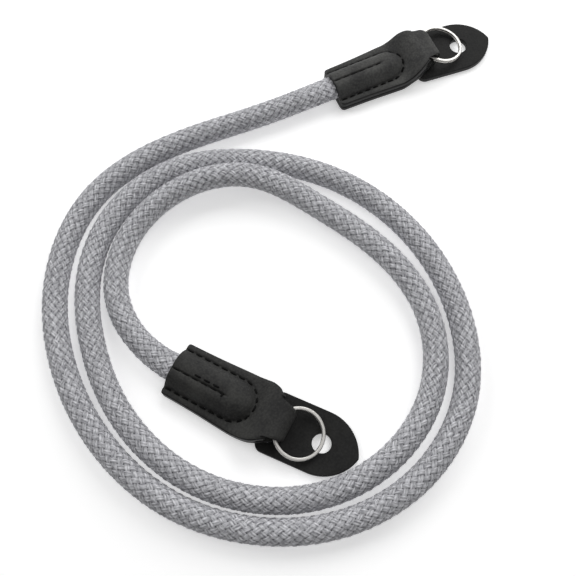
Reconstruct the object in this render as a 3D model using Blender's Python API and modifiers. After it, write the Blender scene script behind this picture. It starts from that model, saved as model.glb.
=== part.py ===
"""Camera neck strap of braided rope, laid on a surface in a loose coil of more than two turns.

Each end of the rope is held in a leather tab: one strip of leather folded over a split ring, its two
layers sewn round the rope's end. A leather pad under each ring has a hole for the camera's strap lug.
Metres, +Z up. Everything lies on Z = 0. A tab's own frame has +X from its mouth towards its ring.
"""

import math
from collections import namedtuple

import bmesh
import bpy
import numpy as np
from mathutils import Matrix, Vector

MM = 0.001

# Driving dimensions
GAP = 0.3 * MM
ROPE_RADIUS = 4.5 * MM
LEATHER = 2.2 * MM
TUNNEL_RADIUS = 1.8 * MM
FOLD_ALONG = 40.3 * MM
RING_OUTER = 8.9 * MM
RING_WIRE_WIDE = 1.2 * MM
RING_WIRE_THICK = 0.65 * MM
RING_SLIT = 0.1 * MM
RING_BEYOND_FOLD = 7.5 * MM
PAD_HALF_WIDTH = 10.8 * MM
PAD_REAR = 35.0 * MM
PAD_REAR_CORNER = 3.0 * MM
PAD_ARCH_START = 54.5 * MM
PAD_TIP = 68.8 * MM
PAD_HOLE_ALONG = 55.6 * MM
PAD_HOLE_RADIUS = 3.3 * MM

# Where the two ends and the coil lie on the surface. The far tab is cut a little narrower on each side.
EndPlace = namedtuple("EndPlace", "name mouth_x_mm mouth_y_mm heading_deg pad_turn_deg narrower_mm")
ENDS = (
    EndPlace("near", -57.49, -54.17, -28.1, 4.5, 0),
    EndPlace("far", -1.59, 57.63, 24.8, -6.5, 0.9),
)
COIL_CENTRE = Vector((-39.09 * MM, -45.87 * MM, 0))

# The rope's route round the coil, from the far tab inwards to the near one. The rise is where the
# innermost turn climbs onto the turn outside it.
RoutePoint = namedtuple("RoutePoint", "angle_deg radius_mm rise_mm")
COIL_ROUTE = [
    RoutePoint(*row)
    for row in (
        (84, 91.6, 0), (108, 81.1, 0), (132, 76.3, 0), (156, 67.3, 0), (180, 58.9, 0),
        (204, 54.2, 0), (228, 53.4, 0), (252, 55.9, 0), (276, 61.0, 0), (300, 68.9, 0),
        (324, 77.1, 0), (348, 81.5, 0), (372, 79.7, 0), (396, 76.5, 0), (420, 73.6, 0),
        (444, 71.5, 0), (468, 70.9, 0), (492, 65.2, 0), (516, 55.4, 0), (540, 47.1, 0),
        (564, 43.5, 0), (588, 43.3, 0), (612, 46.0, 0), (636, 51.2, 0), (660, 58.5, 0),
        (684, 65.8, 0), (708, 70.4, 0), (732, 68.9, 0), (756, 63.1, 0.2), (780, 60.5, 0.9),
        (804, 63.1, 3.9), (828, 61.1, 3.0), (852, 54.8, 0.6), (876, 44.0, 0.1),
    )
]
# The rope inside and just outside a tab, with its height there
EndPoint = namedtuple("EndPoint", "along_mm height_mm")
FAR_END_ROUTE = (EndPoint(23, 4.75), EndPoint(7, 4.75), EndPoint(-10, 4.6))
NEAR_END_ROUTE = (EndPoint(-5.0, 4.65), EndPoint(7, 4.75), EndPoint(23, 4.75))
ROPE_POINTS = 60

# How thick the rope is along its length, as a share of its radius: pressed thin between the layers of the
# two tabs, and drawn in where the inner turn is bent over the turn below it
RopeGirth = namedtuple("RopeGirth", "along_share radius_share")
ROPE_GIRTH = (
    RopeGirth(0, 0.49), RopeGirth(0.0234, 0.49), RopeGirth(0.026, 1), RopeGirth(0.79, 1),
    RopeGirth(0.83, 0.84), RopeGirth(0.86, 0.84), RopeGirth(0.885, 1), RopeGirth(0.974, 1),
    RopeGirth(0.9766, 0.49), RopeGirth(1, 0.49),
)

# The tab's outline: how far its cut edge is from the middle line, along from the mouth
TabWidth = namedtuple("TabWidth", "along_mm half_width_mm")
TAB_OUTLINE = (
    TabWidth(0, 9.7), TabWidth(15, 10.2), TabWidth(29, 10.9), TabWidth(32.5, 10.7),
    TabWidth(36.8, 9.0), TabWidth(40.3, 6.9),
)
NECK_ALONG = (36.8 * MM, 40.3 * MM)
FoldWidth = namedtuple("FoldWidth", "angle_deg half_width_mm")
FOLD_OUTLINE = (
    FoldWidth(-90, 6.9), FoldWidth(-55, 6.2), FoldWidth(-25, 5.7), FoldWidth(25, 5.7),
    FoldWidth(55, 6.2), FoldWidth(90, 6.9),
)
BACK_STATIONS_MM = (0, 15, 26, 28, 29.5, 31, 33, 36.8)
FRONT_STATIONS_MM = (
    38.6, 36.8, 35, 33.5, 32, 31, 30.2, 29, 27.4, 25.6, 23.4, 19, 14.5, 10, 5, 0,
)
FOLD_STEPS = 10
# Across the tab, from the middle line out to the seam, where the two layers meet
SEAM_ACROSS = 7.6 * MM
SEAM_MARGIN = 1.6 * MM
ACROSS_SHARES = (0, 0.22, 0.44, 0.64, 0.81, 0.93, 1)
SEAM_ARC_ALONG = 23.4 * MM
BULGE_HEIGHT = 4.8 * MM
BULGE_FULLNESS = 0.8
# The back layer steps up onto the pad, and the front one parts from it to let the ring through
STEP_UP_ALONG = (26 * MM, 33 * MM)
PARTING_ALONG = (29.5 * MM, 36.8 * MM)


def smooth_step(value, start, end):
    """0 before start, 1 after end, and an even curve between them."""
    share = min(1, max(0, (value - start) / (end - start)))
    return share * share * (3 - 2 * share)


def new_material(name, colour, roughness, metallic=0.0):
    material = bpy.data.materials.new(name)
    material.use_nodes = True
    shader = material.node_tree.nodes["Principled BSDF"]
    shader.inputs["Base Color"].default_value = (*colour, 1)
    shader.inputs["Roughness"].default_value = roughness
    shader.inputs["Metallic"].default_value = metallic
    material.diffuse_color = (*colour, 1)
    return material


def add_object(name, data, collection, parent=None, material=None):
    obj = bpy.data.objects.new(name, data)
    collection.objects.link(obj)
    obj.parent = parent
    if material:
        data.materials.append(material)
    return obj


def hide_as_helper(obj):
    obj.hide_render = True
    obj.display_type = "WIRE"


def natural_spline(points, shares):
    """Points at these shares of the length along a smooth curve through the route's points."""
    points = np.array(points, float)
    knots = np.concatenate([[0], np.cumsum(np.linalg.norm(np.diff(points, axis=0), axis=1))])
    gaps = np.diff(knots)
    size = len(points)
    system = np.eye(size)
    right = np.zeros((size, 3))
    for i in range(1, size - 1):
        system[i, i - 1 : i + 2] = gaps[i - 1], 2 * (gaps[i - 1] + gaps[i]), gaps[i]
        slopes = (points[i + 1] - points[i]) / gaps[i] - (points[i] - points[i - 1]) / gaps[i - 1]
        right[i] = 6 * slopes
    bends = np.linalg.solve(system, right)
    at = np.asarray(shares) * knots[-1]
    k = np.clip(np.searchsorted(knots, at, side="right") - 1, 0, size - 2)
    before = (knots[k + 1] - at)[:, None]
    after = (at - knots[k])[:, None]
    gap = gaps[k][:, None]
    return (
        (bends[k] * before**3 + bends[k + 1] * after**3) / (6 * gap)
        + (points[k] / gap - bends[k] * gap / 6) * before
        + (points[k + 1] / gap - bends[k + 1] * gap / 6) * after
    )


def end_matrix(end):
    place = Matrix.Translation((end.mouth_x_mm * MM, end.mouth_y_mm * MM, 0))
    return place @ Matrix.Rotation(math.radians(end.heading_deg), 4, "Z")


def rope_route():
    near, far = (end_matrix(end) for end in ENDS)
    points = [far @ Vector((p.along_mm * MM, 0, p.height_mm * MM)) for p in FAR_END_ROUTE]
    for row in COIL_ROUTE:
        angle = math.radians(row.angle_deg)
        out = Vector((math.cos(angle), math.sin(angle), 0)) * row.radius_mm * MM
        points.append(COIL_CENTRE + out + Vector((0, 0, ROPE_RADIUS + row.rise_mm * MM)))
    points += [near @ Vector((p.along_mm * MM, 0, p.height_mm * MM)) for p in NEAR_END_ROUTE]
    return points


def make_rope(collection, material):
    curve = bpy.data.curves.new("braided_rope", "CURVE")
    curve.dimensions = "3D"
    curve.bevel_depth = ROPE_RADIUS
    curve.bevel_resolution = 4
    curve.use_fill_caps = True
    girth_along = [row.along_share for row in ROPE_GIRTH]
    girth_share = [row.radius_share for row in ROPE_GIRTH]
    shares = np.union1d(np.linspace(0, 1, ROPE_POINTS), girth_along)
    along = natural_spline(rope_route(), shares)
    along[:, 2] = np.maximum(along[:, 2], ROPE_RADIUS)
    spline = curve.splines.new("POLY")
    spline.points.add(len(shares) - 1)
    for point, place, share in zip(spline.points, along, shares):
        point.co = (*place, 1)
        point.radius = np.interp(share, girth_along, girth_share)
    spline.use_smooth = True
    return add_object("braided_rope", curve, collection, material=material)


def back_height(along):
    """The middle of the back layer's thickness above the surface."""
    return LEATHER / 2 + (LEATHER + GAP) * smooth_step(along, *STEP_UP_ALONG)


def layer_spacing(along):
    """From the middle of the back layer to the middle of the front one, where both lie flat."""
    parted = smooth_step(along, *PARTING_ALONG)
    return LEATHER + GAP + (2 * TUNNEL_RADIUS - GAP) * parted


def bulge(along, across, seam_across):
    """How far the front layer stands up over the rope's end, inside the U-shaped seam."""
    out = math.hypot(max(0, along - SEAM_ARC_ALONG), across) / seam_across
    return BULGE_HEIGHT * max(0, 1 - out * out) ** BULGE_FULLNESS


def half_width(end, along):
    """From the tab's middle line to its cut edge."""
    outline = ([row.along_mm for row in TAB_OUTLINE], [row.half_width_mm for row in TAB_OUTLINE])
    narrower = end.narrower_mm * (1 - smooth_step(along, *NECK_ALONG))
    return (np.interp(along / MM, *outline) - narrower) * MM


def tab_stations(end):
    """(along, height, half width, whether it is the front layer) down the middle of the strip."""
    fold = ([row.angle_deg for row in FOLD_OUTLINE], [row.half_width_mm for row in FOLD_OUTLINE])
    stations = []
    for along in BACK_STATIONS_MM:
        stations.append((along * MM, back_height(along * MM), half_width(end, along * MM), False))
    middle = back_height(FOLD_ALONG) + LEATHER / 2 + TUNNEL_RADIUS
    radius = TUNNEL_RADIUS + LEATHER / 2
    for degrees in np.linspace(-90, 90, FOLD_STEPS + 1):
        angle = math.radians(degrees)
        along = FOLD_ALONG + radius * math.cos(angle)
        height = middle + radius * math.sin(angle)
        stations.append((along, height, np.interp(degrees, *fold) * MM, False))
    for along in FRONT_STATIONS_MM:
        height = back_height(along * MM) + layer_spacing(along * MM)
        stations.append((along * MM, height, half_width(end, along * MM), True))
    return stations


def make_tab(end, collection, helpers, parent, material):
    """One strip of leather, folded over at the ring, as an open surface given its thickness."""
    name = f"{end.name}_leather_tab"
    mesh = bpy.data.meshes.new(name)
    bm = bmesh.new()
    rows = []
    seam_across = SEAM_ACROSS - end.narrower_mm * MM
    for along, height, edge, is_front in tab_stations(end):
        inner = min(seam_across, edge - SEAM_MARGIN)
        half = [share * inner for share in ACROSS_SHARES] + [edge]
        across = [-v for v in reversed(half[1:])] + half
        rise = [bulge(along, v, seam_across) if is_front else 0 for v in across]
        rows.append([bm.verts.new((along, v, height + up)) for v, up in zip(across, rise)])
    for row, following in zip(rows, rows[1:]):
        for j in range(len(row) - 1):
            bm.faces.new((row[j], row[j + 1], following[j + 1], following[j]))
    bm.to_mesh(mesh)
    bm.free()
    mesh.shade_smooth()
    mesh.set_sharp_from_angle(angle=math.radians(40))
    tab = add_object(name, mesh, collection, parent, material)
    wall = tab.modifiers.new("Leather thickness", "SOLIDIFY")
    wall.thickness = LEATHER
    wall.offset = 0
    wall.use_even_offset = True
    for side in (-1, 1):
        cut = tab.modifiers.new("Room for the ring", "BOOLEAN")
        cut.operation = "DIFFERENCE"
        cut.object = make_ring_room(end, side, helpers, parent)
    return tab


RoomProfile = namedtuple("RoomProfile", "across_mm radius_mm")
RING_ROOM = (
    RoomProfile(4.5, 1.7), RoomProfile(5.0, 2.1), RoomProfile(5.5, 2.6), RoomProfile(6.0, 3.15),
    RoomProfile(6.5, 3.85), RoomProfile(7.0, 4.75), RoomProfile(7.8, 5.8),
)
RING_ROOM_ANGLES = (-62, 128)


def fold_axis_height():
    return back_height(FOLD_ALONG) + LEATHER / 2 + TUNNEL_RADIUS


def make_ring_room(end, side, helpers, parent):
    """A flared cutter at one mouth of the fold's tunnel, where the ring sweeps up through the leather."""
    profile = [(row.across_mm * side * MM, row.radius_mm * MM) for row in RING_ROOM]
    inner = 0.8 * MM
    profile = [(profile[0][0], inner), *profile, (profile[-1][0], inner)]
    bm = bmesh.new()
    start, end_angle = (math.radians(a) for a in RING_ROOM_ANGLES)
    turn = Matrix.Rotation(-start, 4, "Y")
    verts = [bm.verts.new(turn @ Vector((radius, across, 0))) for across, radius in profile]
    face = bm.faces.new(verts)
    bmesh.ops.spin(
        bm,
        geom=[face],
        cent=(0, 0, 0),
        axis=(0, -1, 0),
        angle=end_angle - start,
        steps=10,
        use_duplicate=False,
    )
    bmesh.ops.recalc_face_normals(bm, faces=bm.faces)
    mesh = bpy.data.meshes.new(f"{end.name}_ring_room")
    bm.to_mesh(mesh)
    bm.free()
    cutter = add_object(mesh.name, mesh, helpers, parent)
    cutter.location = (FOLD_ALONG, 0, fold_axis_height())
    hide_as_helper(cutter)
    return cutter


def wire_profile(helpers):
    """The ring's flat wire in section, with eased corners."""
    curve = bpy.data.curves.new("ring_wire_section", "CURVE")
    wide, thick, ease = RING_WIRE_WIDE / 2, RING_WIRE_THICK / 2, 0.2 * MM
    corners = []
    for x, y in ((1, -1), (-1, -1), (-1, 1), (1, 1)):
        one = (x * wide, y * (thick - ease))
        other = (x * (wide - ease), y * thick)
        corners += [other, one] if x * y > 0 else [one, other]
    spline = curve.splines.new("POLY")
    spline.points.add(len(corners) - 1)
    for point, (x, y) in zip(spline.points, corners):
        point.co = (x, y, 0, 1)
    spline.use_cyclic_u = True
    section = add_object(curve.name, curve, helpers)
    hide_as_helper(section)
    return section


RING_STEP_DEG = 14
RING_JOG_DEG = 28
RING_JOG_AT_DEG = 208


def make_ring(end, collection, parent, section, material):
    """Two turns of flat wire, one on the other, with the jog between them that lets a split ring open."""
    curve = bpy.data.curves.new(f"{end.name}_split_ring", "CURVE")
    curve.dimensions = "3D"
    curve.twist_mode = "Z_UP"
    curve.bevel_mode = "OBJECT"
    curve.bevel_object = section
    curve.use_fill_caps = True
    rise = (RING_WIRE_THICK + RING_SLIT) / 2
    whole_turn = 360 - RING_JOG_DEG
    turned = np.arange(0, 2 * whole_turn + RING_JOG_DEG + 1, RING_STEP_DEG)
    spline = curve.splines.new("POLY")
    spline.points.add(len(turned) - 1)
    radius = RING_OUTER - RING_WIRE_WIDE / 2
    for point, degrees in zip(spline.points, turned):
        angle = math.radians(RING_JOG_AT_DEG + RING_JOG_DEG / 2 + degrees)
        jog = smooth_step(degrees, whole_turn, 360)
        point.co = (radius * math.cos(angle), radius * math.sin(angle), rise * (2 * jog - 1), 1)
    spline.use_smooth = True
    ring = add_object(curve.name, curve, collection, parent, material)
    ring.location = (RING_BEYOND_FOLD, 0, 0)
    return ring


def ring_slope():
    """How far a ring lying on the pad slopes down from the fold, in radians."""
    thick = RING_WIRE_THICK * 2 + RING_SLIT
    drop = fold_axis_height() - (LEATHER + GAP + thick / 2)
    return math.asin(drop / (RING_BEYOND_FOLD + RING_OUTER))


def pad_outline(arch_steps=10, corner_steps=4):
    """The pad from above: a pointed arch beyond the hole, and rounded corners at the rear."""
    reach = PAD_TIP - PAD_ARCH_START
    arch_radius = (reach**2 + PAD_HALF_WIDTH**2) / (2 * PAD_HALF_WIDTH)
    tip_angle = math.asin(reach / arch_radius)
    side = []
    for angle in np.linspace(tip_angle, 0, arch_steps + 1):
        across = PAD_HALF_WIDTH - arch_radius * (1 - math.cos(angle))
        side.append((PAD_ARCH_START + arch_radius * math.sin(angle), across))
    for angle in np.linspace(math.pi / 2, math.pi, corner_steps + 1):
        along = PAD_REAR + PAD_REAR_CORNER * (1 + math.cos(angle))
        side.append((along, PAD_HALF_WIDTH - PAD_REAR_CORNER * (1 - math.sin(angle))))
    mirrored = [(along, -across) for along, across in reversed(side[1:])]
    return [(along - FOLD_ALONG, across) for along, across in side + mirrored]


def add_outline(curve, points):
    spline = curve.splines.new("POLY")
    spline.points.add(len(points) - 1)
    for point, place in zip(spline.points, points):
        point.co = (*place, 0, 1)
    spline.use_cyclic_u = True


def make_pad(end, collection, parent, material):
    """The leather pad that keeps the ring off the camera, with the hole for the camera's lug."""
    curve = bpy.data.curves.new(f"{end.name}_lug_pad", "CURVE")
    curve.dimensions = "2D"
    curve.fill_mode = "BOTH"
    curve.extrude = LEATHER / 2
    add_outline(curve, pad_outline())
    hole = []
    for step in range(24):
        angle = math.tau * step / 24
        along = PAD_HOLE_ALONG - FOLD_ALONG + PAD_HOLE_RADIUS * math.cos(angle)
        hole.append((along, PAD_HOLE_RADIUS * math.sin(angle)))
    add_outline(curve, hole)
    pad = add_object(curve.name, curve, collection, parent, material)
    pad.location = (FOLD_ALONG, 0, LEATHER / 2)
    pad.rotation_euler.z = math.radians(end.pad_turn_deg)
    return pad


def make_end(end, collection, helpers, section, leather, steel):
    """A tab with its ring and pad, placed where this end of the strap lies."""
    place = add_object(f"{end.name}_end", None, collection)
    place.matrix_world = end_matrix(end)
    make_tab(end, collection, helpers, place, leather)
    make_pad(end, collection, place, leather)
    hinge = add_object(f"{end.name}_ring_hinge", None, collection, place)
    hinge.location = (FOLD_ALONG, 0, fold_axis_height())
    hinge.rotation_euler.y = ring_slope()
    make_ring(end, collection, hinge, section, steel)


def new_collection(name):
    collection = bpy.data.collections.new(name)
    bpy.context.scene.collection.children.link(collection)
    return collection


for old in list(bpy.data.objects):
    bpy.data.objects.remove(old)

strap = new_collection("camera_neck_strap")
cutters = new_collection("cutters")
grey_braid = new_material("Grey heather braid", (0.35, 0.35, 0.37), 0.9)
black_leather = new_material("Black leather", (0.025, 0.024, 0.024), 0.55)
bright_steel = new_material("Nickel-plated steel", (0.75, 0.75, 0.75), 0.2, 1)

make_rope(strap, grey_braid)
ring_section = wire_profile(cutters)
for strap_end in ENDS:
    make_end(strap_end, strap, cutters, ring_section, black_leather, bright_steel)
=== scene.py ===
"""Looks of a camera neck strap: a grey heather braided rope laid in a loose coil, with a folded leather tab,
a split ring and a lug pad at each end. Metres, +Z up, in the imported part's own frame."""

import math
from collections import namedtuple

import bmesh
import bpy
import numpy as np
from mathutils import Matrix, Vector


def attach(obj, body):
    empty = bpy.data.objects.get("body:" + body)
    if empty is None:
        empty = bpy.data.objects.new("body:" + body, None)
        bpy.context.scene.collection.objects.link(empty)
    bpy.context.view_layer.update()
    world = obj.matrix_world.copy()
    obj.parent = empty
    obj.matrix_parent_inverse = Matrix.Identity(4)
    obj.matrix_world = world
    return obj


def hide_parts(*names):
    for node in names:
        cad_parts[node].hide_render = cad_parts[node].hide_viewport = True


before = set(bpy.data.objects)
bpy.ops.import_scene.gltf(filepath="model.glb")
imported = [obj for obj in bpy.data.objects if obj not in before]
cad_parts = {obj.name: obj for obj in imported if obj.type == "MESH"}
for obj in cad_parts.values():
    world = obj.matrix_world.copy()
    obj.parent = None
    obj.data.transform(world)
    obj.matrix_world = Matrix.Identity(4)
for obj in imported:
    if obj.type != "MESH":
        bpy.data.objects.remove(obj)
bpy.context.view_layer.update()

# Camera
# A product picture taken from in front and well above the strap, with a slightly long lens and no roll.
# The point on the surface that the lens is aimed at fills the middle of the picture.
MM = 0.001
AIM = Vector((-19.09 * MM, -23.87 * MM, 0))
ELEVATION = math.radians(70)
DISTANCE = 269.1 * MM
PICTURE_PIXELS = 576
FOCAL_PIXELS = 750

lens = bpy.data.cameras.new("product_camera")
lens.sensor_width = 36
lens.lens = lens.sensor_width * FOCAL_PIXELS / PICTURE_PIXELS
lens.clip_start = 0.01
camera = bpy.data.objects.new("product_camera", lens)
camera.location = AIM + DISTANCE * Vector((0, -math.cos(ELEVATION), math.sin(ELEVATION)))
camera.rotation_euler = (math.pi / 2 - ELEVATION, 0, 0)
bpy.context.scene.collection.objects.link(camera)
bpy.context.scene.camera = camera


# Rope
# A round braided cord of polyester yarn in a grey heather, made on a braiding machine with ten carriers each
# way and two yarns on each carrier, every carrier passing over one and under one. It is one length: each end
# is pressed flat between the layers of a leather tab, and the turns lie on the surface and cross once.
EndPlace = namedtuple("EndPlace", "name mouth_x_mm mouth_y_mm heading_deg pad_turn_deg narrower_mm")
ENDS = (
    EndPlace("near", -57.49, -54.17, -28.1, 4.5, 0),
    EndPlace("far", -1.59, 57.63, 24.8, -6.5, 0.9),
)
ROPE_RADIUS = 4.5 * MM
COIL_CENTRE = Vector((-39.09 * MM, -45.87 * MM, 0))
RoutePoint = namedtuple("RoutePoint", "angle_deg radius_mm rise_mm")
COIL_ROUTE = [
    RoutePoint(*row)
    for row in (
        (84, 91.6, 0), (108, 81.1, 0), (132, 76.3, 0), (156, 67.3, 0), (180, 58.9, 0),
        (204, 54.2, 0), (228, 53.4, 0), (252, 55.9, 0), (276, 61.0, 0), (300, 68.9, 0),
        (324, 77.1, 0), (348, 81.5, 0), (372, 79.7, 0), (396, 76.5, 0), (420, 73.6, 0),
        (444, 71.5, 0), (468, 70.9, 0), (492, 65.2, 0), (516, 55.4, 0), (540, 47.1, 0),
        (564, 43.5, 0), (588, 43.3, 0), (612, 46.0, 0), (636, 51.2, 0), (660, 58.5, 0),
        (684, 65.8, 0), (708, 70.4, 0), (732, 68.9, 0), (756, 63.1, 0.2), (780, 60.5, 0.9),
        (804, 63.1, 3.9), (828, 61.1, 3.0), (852, 54.8, 0.6), (876, 44.0, 0.1),
    )
]
EndPoint = namedtuple("EndPoint", "along_mm height_mm")
FAR_END_ROUTE = (EndPoint(23, 4.75), EndPoint(7, 4.75), EndPoint(-10, 4.6))
NEAR_END_ROUTE = (EndPoint(-5.0, 4.65), EndPoint(7, 4.75), EndPoint(23, 4.75))
LINE_POINTS = 420
# How high the rope stands along its length, as a share of its radius: pressed flat in the tabs, and drawn in
# where one turn is bent over another. Part of what it loses in height it gains in width.
RopeGirth = namedtuple("RopeGirth", "along_share height_share")
ROPE_GIRTH = (
    RopeGirth(0, 0.54), RopeGirth(0.0199, 0.54), RopeGirth(0.0228, 0.58), RopeGirth(0.0278, 0.75),
    RopeGirth(0.0318, 0.85), RopeGirth(0.0387, 1), RopeGirth(0.79, 1), RopeGirth(0.83, 0.84),
    RopeGirth(0.86, 0.84), RopeGirth(0.885, 1), RopeGirth(0.9613, 1), RopeGirth(0.9682, 0.85),
    RopeGirth(0.9722, 0.75), RopeGirth(0.9772, 0.58), RopeGirth(0.9801, 0.54), RopeGirth(1, 0.54),
)
WIDENING = 0.36
CARRIERS = 10
YARNS = 20
LAY_LENGTH = 32.6 * MM
YARN_WIDTH = 0.92 * MM
YARN_CLOSENESS = 0.86
YARN_CROWN = 0.12 * MM
BAND_CROWN = 0.1 * MM
YARN_LIFT = 0.27 * MM
YARN_UNEVENNESS = 0.28 * MM
FACES_ACROSS = 4
CORE_RADIUS = 3.6 * MM
CORE_SIDES = 16


def end_matrix(end):
    place = Matrix.Translation((end.mouth_x_mm * MM, end.mouth_y_mm * MM, 0))
    return place @ Matrix.Rotation(math.radians(end.heading_deg), 4, "Z")


def rope_route():
    near, far = (end_matrix(end) for end in ENDS)
    points = [far @ Vector((p.along_mm * MM, 0, p.height_mm * MM)) for p in FAR_END_ROUTE]
    for row in COIL_ROUTE:
        angle = math.radians(row.angle_deg)
        out = Vector((math.cos(angle), math.sin(angle), 0)) * row.radius_mm * MM
        points.append(COIL_CENTRE + out + Vector((0, 0, ROPE_RADIUS + row.rise_mm * MM)))
    points += [near @ Vector((p.along_mm * MM, 0, p.height_mm * MM)) for p in NEAR_END_ROUTE]
    return points


def natural_spline(points, count):
    """Points evenly along a smooth curve through the route's points."""
    points = np.array(points, float)
    knots = np.concatenate([[0], np.cumsum(np.linalg.norm(np.diff(points, axis=0), axis=1))])
    gaps = np.diff(knots)
    size = len(points)
    system = np.eye(size)
    right = np.zeros((size, 3))
    for i in range(1, size - 1):
        system[i, i - 1 : i + 2] = gaps[i - 1], 2 * (gaps[i - 1] + gaps[i]), gaps[i]
        slopes = (points[i + 1] - points[i]) / gaps[i] - (points[i] - points[i - 1]) / gaps[i - 1]
        right[i] = 6 * slopes
    bends = np.linalg.solve(system, right)
    at = np.linspace(0, knots[-1], count)
    k = np.clip(np.searchsorted(knots, at, side="right") - 1, 0, size - 2)
    before = (knots[k + 1] - at)[:, None]
    after = (at - knots[k])[:, None]
    gap = gaps[k][:, None]
    return (
        (bends[k] * before**3 + bends[k + 1] * after**3) / (6 * gap)
        + (points[k] / gap - bends[k] * gap / 6) * before
        + (points[k + 1] / gap - bends[k + 1] * gap / 6) * after
    )


def linear(colour):
    """A hex colour, as picked on a screen, as the linear value that a shader takes."""
    parts = [int(colour[i : i + 2], 16) / 255 for i in (1, 3, 5)]
    return (*(p / 12.92 if p <= 0.04045 else ((p + 0.055) / 1.055) ** 2.4 for p in parts), 1)


def add_node(tree, kind, inputs=None, **settings):
    """A node of that kind, with its settings, and its inputs set to a value or linked to an output."""
    node = tree.nodes.new(kind)
    for name, value in settings.items():
        setattr(node, name, value)
    for key, value in (inputs or {}).items():
        if isinstance(value, bpy.types.NodeSocket):
            tree.links.new(value, node.inputs[key])
        else:
            node.inputs[key].default_value = value
    return node


def new_material(name):
    material = bpy.data.materials.new(name)
    material.use_nodes = True
    return material, material.node_tree, material.node_tree.nodes["Principled BSDF"]


def new_tree(name, sizes):
    """An empty Geometry Nodes tree with these named inputs."""
    tree = bpy.data.node_groups.new(name, "GeometryNodeTree")
    tree.interface.new_socket("Geometry", in_out="OUTPUT", socket_type="NodeSocketGeometry")
    for label, kind in sizes.items():
        tree.interface.new_socket(label, in_out="INPUT", socket_type=kind)
    return tree, tree.nodes.new("NodeGroupInput").outputs, tree.nodes.new("NodeGroupOutput")


def show(name, data):
    piece = bpy.data.objects.new(name, data)
    bpy.context.scene.collection.objects.link(piece)
    return piece


def piece_from_tree(name, tree, values):
    """What the tree makes with these inputs, as a plain mesh piece."""
    maker = show("maker", bpy.data.meshes.new("maker"))
    modifier = maker.modifiers.new("Maker", "NODES")
    modifier.node_group = tree
    for socket in tree.interface.items_tree:
        if socket.in_out == "INPUT":
            modifier[socket.identifier] = values[socket.name]
    graph = bpy.context.evaluated_depsgraph_get()
    mesh = bpy.data.meshes.new_from_object(maker.evaluated_get(graph), depsgraph=graph)
    bpy.data.objects.remove(maker)
    mesh.name = name
    return show(name, mesh)


# Heather polyester yarn, braided. Light and dark fibres are spun together, so each yarn is streaked along its
# length, and the fibres are matt with a little sheen. Painted shade darkens the yarns where they lie deeper,
# between and under each other. A real fibre is far finer than a pixel, so the streaks are drawn half a yarn wide.
YARN_LIGHT = "#eeeef2"
YARN_MIDDLE = "#c7c7cb"
YARN_DARK = "#929297"
YARN_PAINTED_SHADE = "#66666b"
STREAK_LENGTH = 1.5 * MM
STREAKS_A_YARN = 1.6
DRIFT_LENGTH = 9 * MM


def yarn_material():
    material, tree, shader = new_material("heather_polyester_yarn")
    place = add_node(tree, "ShaderNodeUVMap", uv_map="UVMap").outputs[0]
    scale = (1 / STREAK_LENGTH, STREAKS_A_YARN, 1)
    streak = add_node(tree, "ShaderNodeMapping", {"Vector": place, "Scale": scale}).outputs[0]
    fibres = add_node(
        tree, "ShaderNodeTexNoise", {"Vector": streak, "Scale": 1, "Detail": 1.5, "Roughness": 0.55}
    ).outputs["Fac"]
    slow = (1 / DRIFT_LENGTH, 1, 1)
    drift = add_node(tree, "ShaderNodeMapping", {"Vector": place, "Scale": slow}).outputs[0]
    shade = add_node(tree, "ShaderNodeTexNoise", {"Vector": drift, "Scale": 1, "Detail": 1}).outputs["Fac"]
    blend = add_node(tree, "ShaderNodeMath", {0: shade, 1: 0.4, 2: fibres}, operation="MULTIPLY_ADD").outputs[0]
    ramp = add_node(tree, "ShaderNodeValToRGB", {"Fac": blend})
    stops = ramp.color_ramp.elements
    stops[0].position, stops[0].color = 0.5, linear(YARN_DARK)
    stops[1].position, stops[1].color = 0.9, linear(YARN_LIGHT)
    middle = stops.new(0.68)
    middle.color = linear(YARN_MIDDLE)
    # Painted shade: the yarn's depth below the rope's surface mixes a darker colour into it, darkest where it lies
    # deepest
    sunk = add_node(tree, "ShaderNodeAttribute", attribute_name="sunk").outputs["Fac"]
    shadow = add_node(
        tree, "ShaderNodeMapRange", {"Value": sunk, "From Min": -0.75 * MM, "From Max": -0.1 * MM}
    ).outputs[0]
    tone = add_node(
        tree,
        "ShaderNodeMix",
        {"Factor": shadow, "A": linear(YARN_PAINTED_SHADE), "B": ramp.outputs["Color"]},
        data_type="RGBA",
    )
    tree.links.new(tone.outputs["Result"], shader.inputs["Base Color"])
    bump = add_node(tree, "ShaderNodeBump", {"Height": fibres, "Strength": 0.4, "Distance": 0.08 * MM})
    tree.links.new(bump.outputs[0], shader.inputs["Normal"])
    shader.inputs["Roughness"].default_value = 0.85
    shader.inputs["Specular IOR Level"].default_value = 0.3
    shader.inputs["Sheen Weight"].default_value = 0.1
    shader.inputs["Sheen Roughness"].default_value = 0.5
    return material


def core_material():
    """The rope's inside, coloured dark as painted shade for the gaps between the yarns, where alone it shows."""
    material, tree, shader = new_material("spun_polyester_core")
    place = add_node(tree, "ShaderNodeTexCoord").outputs["Object"]
    specks = add_node(
        tree, "ShaderNodeTexNoise", {"Vector": place, "Scale": 1 / (0.8 * MM), "Detail": 2}
    ).outputs["Fac"]
    ramp = add_node(tree, "ShaderNodeValToRGB", {"Fac": specks})
    # Painted shade: the core's tones are dark so that the gaps between the yarns look shaded
    ramp.color_ramp.elements[0].color = linear("#26262a")
    ramp.color_ramp.elements[1].color = linear("#45454a")
    tree.links.new(ramp.outputs["Color"], shader.inputs["Base Color"])
    shader.inputs["Roughness"].default_value = 0.95
    shader.inputs["Specular IOR Level"].default_value = 0.1
    return material


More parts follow.
